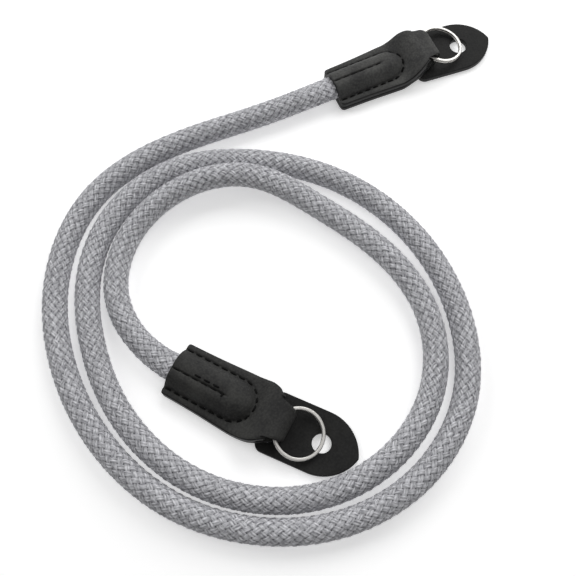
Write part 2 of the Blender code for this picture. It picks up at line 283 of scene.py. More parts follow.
def yarn_tree():
    """Yarns that wind round a centre line one way, over one of the other way's carriers and under the next.

    A flat grid is made for each yarn, with a row of faces across it at each crossing, and then laid on the
    rope: first where each point is along and around the rope, then how far out.
    """
    tree, size, out = new_tree(
        "Braid",
        {
            "Centre line": "NodeSocketObject",
            "Length": "NodeSocketFloat",
            "Yarns": "NodeSocketInt",
            "Carriers": "NodeSocketInt",
            "Rope radius": "NodeSocketFloat",
            "Widening": "NodeSocketFloat",
            "Lay length": "NodeSocketFloat",
            "Hand": "NodeSocketFloat",
            "Yarn width": "NodeSocketFloat",
            "Closeness": "NodeSocketFloat",
            "Yarn crown": "NodeSocketFloat",
            "Band crown": "NodeSocketFloat",
            "Lift": "NodeSocketFloat",
            "Unevenness": "NodeSocketFloat",
            "Faces across": "NodeSocketInt",
            "Material": "NodeSocketMaterial",
        },
    )
    value = {socket.name: socket for socket in size if socket.name}

    def work_out(steps):
        """Each step is a value's name, an operation, and the values or numbers that it is worked out from."""
        for name, operation, *terms in steps:
            inputs = {i: value.get(term, term) for i, term in enumerate(terms)}
            value[name] = add_node(tree, "ShaderNodeMath", inputs, operation=operation).outputs[0]

    work_out((
        ("crossings a turn", "MULTIPLY", "Carriers", 2),
        ("crossing", "DIVIDE", "Lay length", "crossings a turn"),
        ("crossings", "DIVIDE", "Length", "crossing"),
        ("rows", "FLOOR", "crossings"),
        ("columns", "ADD", "Faces across", 1),
    ))
    grid = add_node(
        tree,
        "GeometryNodeMeshGrid",
        {"Size X": 1, "Size Y": 1, "Vertices X": value["rows"], "Vertices Y": value["columns"]},
    )
    starts = add_node(tree, "GeometryNodeMeshLine", {"Count": size["Yarns"], "Offset": (0, 0, 0)})
    copies = add_node(
        tree,
        "GeometryNodeInstanceOnPoints",
        {"Points": starts.outputs[0], "Instance": grid.outputs["Mesh"]},
    )
    number = add_node(tree, "GeometryNodeInputIndex").outputs[0]
    named = add_node(
        tree,
        "GeometryNodeStoreNamedAttribute",
        {"Geometry": copies.outputs[0], "Name": "yarn", "Value": number},
        data_type="INT",
        domain="INSTANCE",
    )
    flat = add_node(tree, "GeometryNodeRealizeInstances", {"Geometry": named.outputs[0]}).outputs[0]

    value["yarn"] = add_node(
        tree, "GeometryNodeInputNamedAttribute", {"Name": "yarn"}, data_type="INT"
    ).outputs[0]
    spot = add_node(tree, "GeometryNodeInputPosition").outputs[0]
    where = add_node(tree, "ShaderNodeSeparateXYZ", {0: spot})
    value["grid along"] = where.outputs["X"]
    value["grid across"] = where.outputs["Y"]
    # Which row a point is in, which carrier its yarn is on, and where the yarn lies on that carrier's band
    work_out((
        ("from start", "ADD", "grid along", 0.5),
        ("last row", "SUBTRACT", "rows", 1),
        ("row place", "MULTIPLY", "from start", "last row"),
        ("row", "ROUND", "row place"),
        ("yarns a carrier", "DIVIDE", "Yarns", "Carriers"),
        ("yarn middle", "ADD", "yarn", 0.5),
        ("carrier place", "DIVIDE", "yarn middle", "yarns a carrier"),
        ("carrier", "FLOOR", "carrier place"),
        ("band share", "SUBTRACT", "carrier place", "carrier"),
        ("from middle", "SUBTRACT", "band share", 0.5),
        ("aside", "MULTIPLY", "from middle", "Closeness"),
    ))
    # Along and around the rope, with the yarn's own width laid square to its run
    work_out((
        ("handed aside", "MULTIPLY", "aside", "Hand"),
        ("row here", "SUBTRACT", "row", "handed aside"),
        ("along", "MULTIPLY", "crossing", "row here"),
        ("turn", "DIVIDE", math.tau, "Lay length"),
        ("turned", "MULTIPLY", "along", "turn"),
        ("wound", "MULTIPLY", "turned", "Hand"),
        ("carrier spacing", "DIVIDE", math.tau, "Carriers"),
        ("carriers round", "ADD", "carrier", "aside"),
        ("around", "MULTIPLY_ADD", "carriers round", "carrier spacing", "wound"),
        ("steepness", "MULTIPLY", "Rope radius", "turn"),
        ("slant", "ARCTANGENT", "steepness"),
        ("slant sine", "SINE", "slant"),
        ("slant cosine", "COSINE", "slant"),
        ("across", "MULTIPLY", "grid across", "Yarn width"),
        ("handed across", "MULTIPLY", "across", "Hand"),
        ("back", "MULTIPLY", "handed across", "slant sine"),
        ("along here", "SUBTRACT", "along", "back"),
        ("aslant", "MULTIPLY", "across", "slant cosine"),
        ("round by", "DIVIDE", "aslant", "Rope radius"),
        ("around here", "ADD", "around", "round by"),
    ))
    # Over one carrier and under the next, at every second crossing
    work_out((
        ("pattern", "FLOORED_MODULO", "row", 2),
        ("side", "MULTIPLY_ADD", "pattern", -2, 1),
        ("handed side", "MULTIPLY", "side", "Hand"),
        ("below", "SUBTRACT", "handed side", 1),
        ("lift", "MULTIPLY", "below", "Lift"),
    ))
    # The yarns and the bands are crowned and a little uneven, so their edges lie deeper than their middles
    value["noise along"] = add_node(
        tree, "ShaderNodeMath", {0: value["along"], 1: 3 * MM}, operation="DIVIDE"
    ).outputs[0]
    spot = add_node(tree, "ShaderNodeCombineXYZ", {0: value["noise along"], 1: value["yarn"], 2: size["Hand"]})
    value["noise"] = add_node(
        tree, "ShaderNodeTexNoise", {"Vector": spot.outputs[0], "Scale": 1, "Detail": 0}
    ).outputs[0]
    work_out((
        ("edge", "MULTIPLY", "grid across", 2),
        ("edge squared", "MULTIPLY", "edge", "edge"),
        ("yarn fall", "MULTIPLY", "edge squared", "Yarn crown"),
        ("band place", "MULTIPLY_ADD", "from middle", 2, "grid across"),
        ("band squared", "MULTIPLY", "band place", "band place"),
        ("band fall", "MULTIPLY", "band squared", "Band crown"),
        ("off even", "SUBTRACT", "noise", 0.5),
        ("risen", "MULTIPLY_ADD", "off even", "Unevenness", "lift"),
        ("crowned", "SUBTRACT", "risen", "yarn fall"),
        ("sunk", "SUBTRACT", "crowned", "band fall"),
    ))

    line = add_node(tree, "GeometryNodeObjectInfo", {"Object": size["Centre line"]}).outputs["Geometry"]
    girth = add_node(tree, "GeometryNodeInputRadius").outputs[0]
    sample = add_node(
        tree,
        "GeometryNodeSampleCurve",
        {"Curves": line, "Value": girth, "Length": value["along here"]},
        mode="LENGTH",
    )
    value["height"] = sample.outputs["Value"]
    work_out((
        ("lost", "SUBTRACT", 1, "height"),
        ("width", "MULTIPLY_ADD", "lost", "Widening", 1),
        ("half width", "MULTIPLY_ADD", "width", "Rope radius", "sunk"),
        ("half height", "MULTIPLY_ADD", "height", "Rope radius", "sunk"),
        ("cosine", "COSINE", "around here"),
        ("sine", "SINE", "around here"),
        ("out sideways", "MULTIPLY", "half width", "cosine"),
        ("out upwards", "MULTIPLY", "half height", "sine"),
    ))
    facing = add_node(
        tree,
        "FunctionNodeAxesToRotation",
        {"Primary Axis": sample.outputs["Tangent"], "Secondary Axis": (0, 0, 1)},
        primary_axis="Z",
        secondary_axis="Y",
    ).outputs[0]
    outward = add_node(tree, "ShaderNodeCombineXYZ", {0: value["out sideways"], 1: value["out upwards"]})
    turned = add_node(
        tree, "FunctionNodeRotateVector", {"Vector": outward.outputs[0], "Rotation": facing}
    ).outputs[0]
    place = add_node(
        tree, "ShaderNodeVectorMath", {0: sample.outputs["Position"], 1: turned}, operation="ADD"
    ).outputs[0]

    # The chart and the depth are read from the flat grid, so they are stored before it is laid
    work_out((
        ("yarn start", "MULTIPLY_ADD", "yarn", 7, "Hand"),
        ("chart across", "ADD", "yarn start", "grid across"),
    ))
    chart = add_node(tree, "ShaderNodeCombineXYZ", {0: value["along"], 1: value["chart across"]}).outputs[0]
    charted = add_node(
        tree,
        "GeometryNodeStoreNamedAttribute",
        {"Geometry": flat, "Name": "UVMap", "Value": chart},
        data_type="FLOAT2",
        domain="CORNER",
    ).outputs[0]
    sounded = add_node(
        tree,
        "GeometryNodeStoreNamedAttribute",
        {"Geometry": charted, "Name": "sunk", "Value": value["sunk"]},
        data_type="FLOAT",
        domain="POINT",
    ).outputs[0]
    laid = add_node(tree, "GeometryNodeSetPosition", {"Geometry": sounded, "Position": place}).outputs[0]
    turned = add_node(tree, "GeometryNodeFlipFaces", {"Mesh": laid}).outputs[0]
    smooth = add_node(tree, "GeometryNodeSetShadeSmooth", {"Geometry": turned}).outputs[0]
    finished = add_node(
        tree, "GeometryNodeSetMaterial", {"Geometry": smooth, "Material": size["Material"]}
    ).outputs[0]
    tree.links.new(finished, out.inputs[0])
    return tree


def centre_line_object():
    """The rope's centre line as a curve, with the rope's height share as its radius."""
    curve = bpy.data.curves.new("centre_line", "CURVE")
    curve.dimensions = "3D"
    spline = curve.splines.new("POLY")
    spline.points.add(LINE_POINTS - 1)
    for point, place, share in zip(spline.points, rope_points, rope_heights):
        point.co = (*place, 1)
        point.radius = share
    return show(curve.name, curve)


def core_object():
    """The rope's inside, as rings of points along the centre line."""
    ahead = np.gradient(rope_points, axis=0)
    sideways = np.cross((0, 0, 1), ahead)
    sideways /= np.linalg.norm(sideways, axis=1)[:, None]
    upwards = np.cross(ahead, sideways)
    upwards /= np.linalg.norm(upwards, axis=1)[:, None]
    wide = CORE_RADIUS * (1 + WIDENING * (1 - rope_heights))
    high = CORE_RADIUS - ROPE_RADIUS * (1 - rope_heights)
    rings = []
    for angle in np.arange(CORE_SIDES) * math.tau / CORE_SIDES:
        out_side = sideways * (wide * math.cos(angle))[:, None]
        rings.append(rope_points + out_side + upwards * (high * math.sin(angle))[:, None])
    points = np.stack(rings, axis=1).reshape(-1, 3)
    faces = [range(CORE_SIDES - 1, -1, -1), range(len(points) - CORE_SIDES, len(points))]
    for i in range(LINE_POINTS - 1):
        for j in range(CORE_SIDES):
            here, beside = i * CORE_SIDES + j, i * CORE_SIDES + (j + 1) % CORE_SIDES
            faces.append((here, beside, beside + CORE_SIDES, here + CORE_SIDES))
    mesh = bpy.data.meshes.new("rope_core")
    mesh.from_pydata(points, [], faces)
    mesh.shade_smooth()
    mesh.materials.append(core_material())
    return show(mesh.name, mesh)


rope_points = natural_spline(rope_route(), LINE_POINTS)
rope_points[:, 2] = np.maximum(rope_points[:, 2], ROPE_RADIUS)
rope_length = float(np.linalg.norm(np.diff(rope_points, axis=0), axis=1).sum())
rope_heights = np.interp(np.linspace(0, 1, LINE_POINTS), *zip(*ROPE_GIRTH))

core = core_object()
centre_line = centre_line_object()
braid = yarn_tree()
yarn_finish = yarn_material()
for name, hand in (("rope_yarns_right", 1), ("rope_yarns_left", -1)):
    yarns = piece_from_tree(
        name,
        braid,
        {
            "Centre line": centre_line,
            "Length": rope_length,
            "Yarns": YARNS,
            "Carriers": CARRIERS,
            "Rope radius": ROPE_RADIUS,
            "Widening": WIDENING,
            "Lay length": LAY_LENGTH,
            "Hand": float(hand),
            "Yarn width": YARN_WIDTH,
            "Closeness": YARN_CLOSENESS,
            "Yarn crown": YARN_CROWN,
            "Band crown": BAND_CROWN,
            "Lift": YARN_LIFT,
            "Unevenness": YARN_UNEVENNESS,
            "Faces across": FACES_ACROSS,
            "Material": yarn_finish,
        },
    )
    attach(yarns, "strap")
bpy.data.objects.remove(centre_line)
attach(core, "strap")
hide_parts("braided_rope")


# Leather tabs
# Each tab is one strip of firm black leather, folded round the split ring. Its back layer lies flat and steps
# up onto the lug pad, and its front layer is moulded over the rope's end and sewn down round it. The cut
# edges are sanded, painted and lightly rounded. The far tab is cut a little narrower than the near one. Tabs
# and pads are one leather, given different tones as painted light and shade: the far tab lighter, the pads darker.
LEATHER = 2.2 * MM
GAP = 0.3 * MM
TUNNEL_RADIUS = 1.8 * MM
FOLD_ALONG = 40.3 * MM
FOLD_RADIUS = TUNNEL_RADIUS + LEATHER
TabWidth = namedtuple("TabWidth", "along_mm half_width_mm")
TAB_OUTLINE = (
    TabWidth(0, 9.7), TabWidth(15, 10.2), TabWidth(29, 10.9), TabWidth(32.5, 10.7),
    TabWidth(36.8, 9.0), TabWidth(40.3, 6.9),
)
NECK_ALONG = (36.8 * MM, 40.3 * MM)
FoldWidth = namedtuple("FoldWidth", "angle_deg half_width_mm")
FOLD_OUTLINE = (FoldWidth(-50, 6.0), FoldWidth(-20, 5.7), FoldWidth(20, 5.7), FoldWidth(50, 6.0))
MOUTH_CORNER = {"near": 0.9 * MM, "far": 1.6 * MM}
SEAM_ACROSS = 7.5 * MM
SEAM_ARC_ALONG = 23.4 * MM
BULGE_INSIDE_SEAM = 0.4 * MM
BULGE_HEIGHT = 4.8 * MM
BULGE_SQUARENESS = 2.4
BULGE_FULLNESS = 0.8
BULGE_FOOT = np.linspace(-0.6, 0.6, 7) * MM
STEP_UP_ALONG = (26 * MM, 33 * MM)
PARTING_ALONG = (29.5 * MM, 36.8 * MM)
SEAM_GROOVE = 0.45 * MM
SEAM_GROOVE_WIDTH = 0.42 * MM
# The middle seam is sewn through the front layer and the rope, in a shallow valley with a sharp floor
MIDDLE_SEAM = (1.9 * MM, 19.5 * MM)
MIDDLE_ACROSS = {"near": -1.0 * MM, "far": -0.1 * MM}
MIDDLE_VALLEY = 0.45 * MM
MIDDLE_VALLEY_WIDTH = 1.6 * MM
MIDDLE_GROOVE = 0.65 * MM
MIDDLE_GROOVE_WIDTH = 0.32 * MM
EDGE_ROLL = 0.25 * MM
EDGE_ROLL_WIDTH = 1.3 * MM
EDGE_ROUNDING = 0.4 * MM
ROW_SPACING = 0.5 * MM
COLUMNS = 110
FOLD_ROWS = 20


def smooth_step(value, start, end):
    share = np.clip((value - start) / (end - start), 0, 1)
    return share * share * (3 - 2 * share)


def back_height(along):
    """The middle of the back layer's thickness above the surface."""
    return LEATHER / 2 + (LEATHER + GAP) * smooth_step(along, *STEP_UP_ALONG)


def fold_axis_height():
    return float(back_height(FOLD_ALONG)) + LEATHER / 2 + TUNNEL_RADIUS


def seam_across(end):
    return SEAM_ACROSS - end.narrower_mm * MM


def from_seam_centre(along, across):
    return np.hypot(np.maximum(0, along - SEAM_ARC_ALONG), across)


def front_height(end, along, across):
    """The front layer's outer face: flat, then parted from the back, and moulded up over the rope's end."""
    parted = smooth_step(along, *PARTING_ALONG)
    flat = back_height(along) + LEATHER * 1.5 + GAP + (2 * TUNNEL_RADIUS - GAP) * parted
    bulge_across = seam_across(end) - BULGE_INSIDE_SEAM
    rise = 0
    for shift in BULGE_FOOT:
        out = np.minimum(1, abs(from_seam_centre(along, across) + shift) / bulge_across)
        rise = rise + (1 - out**BULGE_SQUARENESS) ** BULGE_FULLNESS / len(BULGE_FOOT)
    return flat + BULGE_HEIGHT * rise


def seam_depth(end, along, across):
    """How far the thread pulls the front layer in along the seam round the rope's end and the middle one."""
    from_seam = (from_seam_centre(along, across) - seam_across(end)) / SEAM_GROOVE_WIDTH
    sewn = smooth_step(along, -2 * MM, 1 * MM) * (1 - smooth_step(along, MIDDLE_SEAM[1], 22 * MM))
    from_middle = across - MIDDLE_ACROSS[end.name]
    valley = MIDDLE_VALLEY * np.exp(-((from_middle / MIDDLE_VALLEY_WIDTH) ** 2))
    groove = MIDDLE_GROOVE * np.exp(-((from_middle / MIDDLE_GROOVE_WIDTH) ** 2))
    return SEAM_GROOVE * np.exp(-(from_seam**2)) + (valley + groove) * sewn


def strip_outline(end):
    """Half width against the length along the strip's outer face, from the back's mouth to the front's."""
    fold_length = math.pi * FOLD_RADIUS
    rows = [(row.along_mm * MM, row.half_width_mm * MM, 0) for row in TAB_OUTLINE]
    for row in FOLD_OUTLINE:
        unrolled = FOLD_ALONG + fold_length * (row.angle_deg + 90) / 180
        rows.append((unrolled, row.half_width_mm * MM, 0))
    whole = 2 * FOLD_ALONG + fold_length
    rows += [(whole - row.along_mm * MM, row.half_width_mm * MM, 0) for row in reversed(TAB_OUTLINE)]
    lengths, widths, _ = natural_spline(rows, 600).T
    along = np.minimum(lengths, whole - lengths)
    corner = MOUTH_CORNER[end.name]
    inside_corner = np.clip(corner - along, 0, corner)
    cut_off = corner - np.sqrt(corner**2 - inside_corner**2)
    narrower = end.narrower_mm * MM * (1 - smooth_step(along, *NECK_ALONG))
    return lengths, widths - narrower - cut_off, whole


def outer_face(end, length, whole, across):
    """Places and outward directions on the strip's outer face, for one row of points across it."""
    fold_end = whole - FOLD_ALONG
    still = np.zeros_like(across)
    near = 0.05 * MM
    if length < FOLD_ALONG:
        height = back_height(length) - LEATHER / 2
        slope = (back_height(length + near) - back_height(length - near)) / (2 * near)
        places = (still + length, across, still + height)
        outward = (still + slope, still, still - 1)
    elif length < fold_end:
        angle = math.pi * (length - FOLD_ALONG) / (fold_end - FOLD_ALONG) - math.pi / 2
        along = FOLD_ALONG + FOLD_RADIUS * math.cos(angle)
        height = fold_axis_height() + FOLD_RADIUS * math.sin(angle)
        places = (still + along, across, still + height)
        outward = (still + math.cos(angle), still, still + math.sin(angle))
    else:
        along = whole - length
        places = (still + along, across, front_height(end, along, across))
        slope_along = front_height(end, along + near, across) - front_height(end, along - near, across)
        slope_across = front_height(end, along, across + near) - front_height(end, along, across - near)
        outward = (-slope_along / (2 * near), -slope_across / (2 * near), still + 1)
    outward = np.stack(outward, axis=1)
    return np.stack(places, axis=1), outward / np.linalg.norm(outward, axis=1)[:, None]


def strip_section(half_width, drawn_in):
    """(across, depth under the outer face) once round the strip's section, and which are rounded edge."""
    ease = EDGE_ROUNDING - drawn_in
    flat = np.linspace(-1, 1, COLUMNS + 1) * (half_width - EDGE_ROUNDING)
    angles = np.radians((22.5, 45, 67.5, 90))
    bulk = half_width - EDGE_ROUNDING
    upper = [(bulk + ease * math.sin(a), EDGE_ROUNDING - ease * math.cos(a)) for a in angles]
    lower = [(across, LEATHER - depth) for across, depth in reversed(upper)]
    right = upper + lower
    left = [(-across, depth) for across, depth in reversed(right)]
    outer = [(across, drawn_in) for across in flat]
    inner = [(across, LEATHER - drawn_in) for across in reversed(flat)]
    return np.array(outer + right + inner + left)


def strip_rows(end):
    """Rings of points round the strip, from the back's mouth round the fold to the front's."""
    lengths, widths, whole = strip_outline(end)
    fold_end = whole - FOLD_ALONG
    flat_rows = round(FOLD_ALONG / ROW_SPACING)
    eased = [(EDGE_ROUNDING * (1 - math.cos(a)), EDGE_ROUNDING * (1 - math.sin(a))) for a in np.radians((0, 30, 60))]
    middle = [
        *np.linspace(EDGE_ROUNDING, FOLD_ALONG, flat_rows + 1)[:-1],
        *np.linspace(FOLD_ALONG, fold_end, FOLD_ROWS + 1)[:-1],
        *np.linspace(fold_end, whole - EDGE_ROUNDING, flat_rows + 1),
    ]
    rows = [(inwards, drawn_in) for inwards, drawn_in in eased]
    rows += [(length, 0) for length in middle]
    rows += [(whole - inwards, drawn_in) for inwards, drawn_in in reversed(eased)]
    rings = []
    for length, drawn_in in rows:
        half_width = float(np.interp(length, lengths, widths))
        across, depth = strip_section(half_width, drawn_in).T
        places, outward = outer_face(end, length, whole, across)
        pressed = EDGE_ROLL * smooth_step(abs(across), half_width - EDGE_ROLL_WIDTH, half_width)
        if length >= fold_end:
            pressed = pressed + seam_depth(end, whole - length, across)
        depth = depth + pressed * (1 - depth / LEATHER)
        rings.append(places - outward * depth[:, None])
    return rings


# Vegetable-tanned leather, dyed black through and finished with a matt wax: fine pebbled grain, a slightly
# lighter bloom on the crowns of the grain, and a soft broad highlight. The real grain is about 0.3 mm across
# and is drawn at 0.7 mm so that it shows.
# Painted light and shade: one leather in three tones, the far tab lighter and the pads darker than the near tab
TAB_LEATHER = {"near": ("#2a2a2a", "#41413f"), "far": ("#373737", "#535351")}
PAD_LEATHER = ("#1a1a1a", "#292928")
GRAIN = 0.7 * MM


def leather_material(name, colour, bloom):
    material, tree, shader = new_material(name)
    place = add_node(tree, "ShaderNodeTexCoord").outputs["Object"]
    cells = add_node(
        tree, "ShaderNodeTexVoronoi", {"Vector": place, "Scale": 1 / GRAIN}, feature="SMOOTH_F1"
    ).outputs["Distance"]
    creases = add_node(
        tree, "ShaderNodeTexNoise", {"Vector": place, "Scale": 1 / (1.6 * MM), "Detail": 4, "Roughness": 0.6}
    ).outputs["Fac"]
    wear = add_node(
        tree, "ShaderNodeTexNoise", {"Vector": place, "Scale": 1 / (9 * MM), "Detail": 3}
    ).outputs["Fac"]
    tone = add_node(tree, "ShaderNodeMath", {0: cells, 1: -0.45, 2: wear}, operation="MULTIPLY_ADD").outputs[0]
    ramp = add_node(tree, "ShaderNodeValToRGB", {"Fac": tone})
    stops = ramp.color_ramp.elements
    stops[0].position, stops[0].color = 0.1, linear(colour)
    stops[1].position, stops[1].color = 0.55, linear(bloom)
    tree.links.new(ramp.outputs["Color"], shader.inputs["Base Color"])
    height = add_node(tree, "ShaderNodeMath", {0: creases, 1: 0.8, 2: cells}, operation="MULTIPLY_ADD")
    bump = add_node(
        tree, "ShaderNodeBump", {"Height": height.outputs[0], "Strength": 0.8, "Distance": 0.1 * MM}
    )
    tree.links.new(bump.outputs[0], shader.inputs["Normal"])
    shine = add_node(tree, "ShaderNodeMapRange", {"Value": wear, "To Min": 0.6, "To Max": 0.75})
    tree.links.new(shine.outputs[0], shader.inputs["Roughness"])
    shader.inputs["Specular IOR Level"].default_value = 0.2
    return material


def edge_material():
    """Black edge paint: smooth, a little glossier than the leather's face."""
    material, tree, shader = new_material("black_edge_paint")
    place = add_node(tree, "ShaderNodeTexCoord").outputs["Object"]
    waves = add_node(tree, "ShaderNodeTexNoise", {"Vector": place, "Scale": 1 / (1.2 * MM), "Detail": 2})
    bump = add_node(
        tree, "ShaderNodeBump", {"Height": waves.outputs["Fac"], "Strength": 0.3, "Distance": 0.05 * MM}
    )
    tree.links.new(bump.outputs[0], shader.inputs["Normal"])
    ramp = add_node(tree, "ShaderNodeValToRGB", {"Fac": waves.outputs["Fac"]})
    ramp.color_ramp.elements[0].color = linear("#0a0a0a")
    ramp.color_ramp.elements[1].color = linear("#141414")
    tree.links.new(ramp.outputs["Color"], shader.inputs["Base Color"])
    shader.inputs["Roughness"].default_value = 0.5
    shader.inputs["Specular IOR Level"].default_value = 0.3
    return material


# The ring swings in the fold, so each mouth of the fold's tunnel is flared where the wire sweeps past
RoomProfile = namedtuple("RoomProfile", "across_mm radius_mm")
RING_ROOM = (
    RoomProfile(4.5, 1.7), RoomProfile(5.0, 2.1), RoomProfile(5.5, 2.6), RoomProfile(6.0, 3.15),
    RoomProfile(6.5, 3.85), RoomProfile(7.0, 4.75), RoomProfile(7.8, 5.8),
)
RING_ROOM_ANGLES = (-62, 128)


def ring_room(side):
    profile = [(row.across_mm * side * MM, row.radius_mm * MM) for row in RING_ROOM]
    inner = 0.8 * MM
    profile = [(profile[0][0], inner), *profile, (profile[-1][0], inner)]
    bm = bmesh.new()
    start, end_angle = (math.radians(a) for a in RING_ROOM_ANGLES)
    turn = Matrix.Rotation(-start, 4, "Y")
    face = bm.faces.new([bm.verts.new(turn @ Vector((radius, across, 0))) for across, radius in profile])
    bmesh.ops.spin(bm, geom=[face], cent=(0, 0, 0), axis=(0, -1, 0), angle=end_angle - start, steps=32)
    bmesh.ops.recalc_face_normals(bm, faces=bm.faces)
    bmesh.ops.translate(bm, verts=bm.verts, vec=(FOLD_ALONG, 0, fold_axis_height()))
    mesh = bpy.data.meshes.new("ring_room")
    bm.to_mesh(mesh)
    bm.free()
    return show("ring_room", mesh)


def plain_mesh(piece, place):
    """The piece with its modifiers applied and its place put in its mesh."""
    graph = bpy.context.evaluated_depsgraph_get()
    mesh = bpy.data.meshes.new_from_object(piece.evaluated_get(graph), depsgraph=graph)
    mesh.name = piece.name
    mesh.transform(place)
    name = piece.name
    bpy.data.objects.remove(piece)
    return show(name, mesh)


def make_tab(end, leather, edge):
    mesh = bpy.data.meshes.new(f"{end.name}_tab_leather")
    bm = bmesh.new()
    rings = [[bm.verts.new(point) for point in ring] for ring in strip_rows(end)]
    count = len(rings[0])
    sides = count // 2 - COLUMNS - 1
    for ring, following in zip(rings, rings[1:]):
        for j in range(count):
            k = (j + 1) % count
            face = bm.faces.new((ring[j], ring[k], following[k], following[j]))
            on_outer = j < COLUMNS
            on_inner = COLUMNS + sides < j < count - sides - 1
            face.material_index = 0 if on_outer or on_inner else 1
    for ring, step in ((rings[0], -1), (rings[-1], 1)):
        inner = [ring[COLUMNS + sides + 1 + COLUMNS - j] for j in range(COLUMNS + 1)]
        caps = [(ring[j], ring[j + 1], inner[j + 1], inner[j]) for j in range(COLUMNS)]
        caps.append(ring[COLUMNS : COLUMNS + sides + 2])
        caps.append([*ring[count - sides - 1 :], ring[0]])
        for cap in caps:
            bm.faces.new(cap[::step]).material_index = 1
    bmesh.ops.recalc_face_normals(bm, faces=bm.faces)
    bm.to_mesh(mesh)
    bm.free()
    mesh.materials.append(leather)
    mesh.materials.append(edge)
    mesh.shade_smooth()
    tab = show(mesh.name, mesh)
    rooms = [ring_room(side) for side in (-1, 1)]
    for room in rooms:
        cut = tab.modifiers.new("Room for the ring", "BOOLEAN")
        cut.operation = "DIFFERENCE"
        cut.object = room
    tab = plain_mesh(tab, end_matrix(end))
    tab.data.set_sharp_from_angle(angle=math.radians(50))
    for room in rooms:
        bpy.data.objects.remove(room)
    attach(tab, "strap")
    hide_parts(f"{end.name}_leather_tab")
    return tab


edge_finish = edge_material()
tabs = []
for strap_end in ENDS:
    tab_finish = leather_material(f"waxed_black_{strap_end.name}_leather", *TAB_LEATHER[strap_end.name])
    tabs.append(make_tab(strap_end, tab_finish, edge_finish))


# Stitches
# Black waxed thread, saddle stitched through both layers round the rope's end, and down the middle of the
# front layer, where it is sewn to the rope and tacked off with a second short line and a cross stitch.
STITCH_PITCH = 3.3 * MM
STITCH_LENGTH = 2.3 * MM
THREAD_RADIUS = 0.35 * MM
STITCH_DIP = 0.34 * MM
SEAM_START = 1.9 * MM
TACK_ASIDE = 1.3 * MM


def thread_material():
    """Waxed polyester thread: near black, with a small highlight on each twist."""
    material, tree, shader = new_material("black_waxed_thread")
    place = add_node(tree, "ShaderNodeTexCoord").outputs["Object"]
    twist = add_node(tree, "ShaderNodeTexNoise", {"Vector": place, "Scale": 1 / (0.35 * MM), "Detail": 1})
    bump = add_node(
        tree, "ShaderNodeBump", {"Height": twist.outputs["Fac"], "Strength": 0.4, "Distance": 0.08 * MM}
    )
    tree.links.new(bump.outputs[0], shader.inputs["Normal"])
    shader.inputs["Base Color"].default_value = linear("#070707")
    shader.inputs["Roughness"].default_value = 0.8
    shader.inputs["Specular IOR Level"].default_value = 0.2
    return material


def stitch_tree():
    """A stitch at each pitch along a seam line, laid on the leather below it.

    Each stitch is a short arc of thread whose two ends dip into the leather.
    """
    tree, size, out = new_tree(
        "Stitches",
        {
            "Seams": "NodeSocketObject",
            "Leather": "NodeSocketObject",
            "Pitch": "NodeSocketFloat",
            "Stitch length": "NodeSocketFloat",
            "Dip": "NodeSocketFloat",
            "Thread radius": "NodeSocketFloat",
            "Material": "NodeSocketMaterial",
        },
    )
    seams = add_node(tree, "GeometryNodeObjectInfo", {"Object": size["Seams"]}).outputs["Geometry"]
    spots = add_node(
        tree, "GeometryNodeCurveToPoints", {"Curve": seams, "Length": size["Pitch"]}, mode="LENGTH"
    )
    leather = add_node(tree, "GeometryNodeObjectInfo", {"Object": size["Leather"]}).outputs["Geometry"]
    below = add_node(
        tree, "GeometryNodeRaycast", {"Target Geometry": leather, "Ray Direction": (0, 0, -1), "Ray Length": 0.1}
    )
    flat = add_node(tree, "FunctionNodeAlignRotationToVector", {"Vector": below.outputs["Hit Normal"]}, axis="Z")
    turned = add_node(
        tree,
        "FunctionNodeAlignRotationToVector",
        {"Rotation": flat.outputs[0], "Vector": spots.outputs["Tangent"]},
        axis="X",
        pivot_axis="Z",
    ).outputs[0]
    # The turn is read before the spots are dropped onto the leather, so it is stored first
    kept = add_node(
        tree,
        "GeometryNodeStoreNamedAttribute",
        {"Geometry": spots.outputs["Points"], "Name": "turn", "Value": turned},
        data_type="QUATERNION",
    ).outputs[0]
    dropped = add_node(
        tree, "GeometryNodeSetPosition", {"Geometry": kept, "Position": below.outputs["Hit Position"]}
    ).outputs[0]
    half = add_node(tree, "ShaderNodeMath", {0: size["Stitch length"], 1: 0.5}, operation="MULTIPLY").outputs[0]
    other = add_node(tree, "ShaderNodeMath", {0: half, 1: -1}, operation="MULTIPLY").outputs[0]
    low = add_node(tree, "ShaderNodeMath", {0: size["Dip"], 1: -1}, operation="MULTIPLY").outputs[0]
    high = add_node(tree, "ShaderNodeMath", {0: size["Dip"], 1: 2}, operation="MULTIPLY").outputs[0]
    start = add_node(tree, "ShaderNodeCombineXYZ", {0: other, 2: low}).outputs[0]
    crest = add_node(tree, "ShaderNodeCombineXYZ", {2: high}).outputs[0]
    finish = add_node(tree, "ShaderNodeCombineXYZ", {0: half, 2: low}).outputs[0]
    arc = add_node(
        tree,
        "GeometryNodeCurveQuadraticBezier",
        {"Resolution": 8, "Start": start, "Middle": crest, "End": finish},
    ).outputs[0]
    section = add_node(
        tree, "GeometryNodeCurvePrimitiveCircle", {"Resolution": 8, "Radius": size["Thread radius"]}
    ).outputs[0]
    thread = add_node(
        tree, "GeometryNodeCurveToMesh", {"Curve": arc, "Profile Curve": section, "Fill Caps": True}
    ).outputs[0]
    turn = add_node(
        tree, "GeometryNodeInputNamedAttribute", {"Name": "turn"}, data_type="QUATERNION"
    ).outputs[0]
    laid = add_node(
        tree, "GeometryNodeInstanceOnPoints", {"Points": dropped, "Instance": thread, "Rotation": turn}
    ).outputs[0]
    real = add_node(tree, "GeometryNodeRealizeInstances", {"Geometry": laid}).outputs[0]
    smooth = add_node(tree, "GeometryNodeSetShadeSmooth", {"Geometry": real}).outputs[0]
    finished = add_node(
        tree, "GeometryNodeSetMaterial", {"Geometry": smooth, "Material": size["Material"]}
    ).outputs[0]
    tree.links.new(finished, out.inputs[0])
    return tree


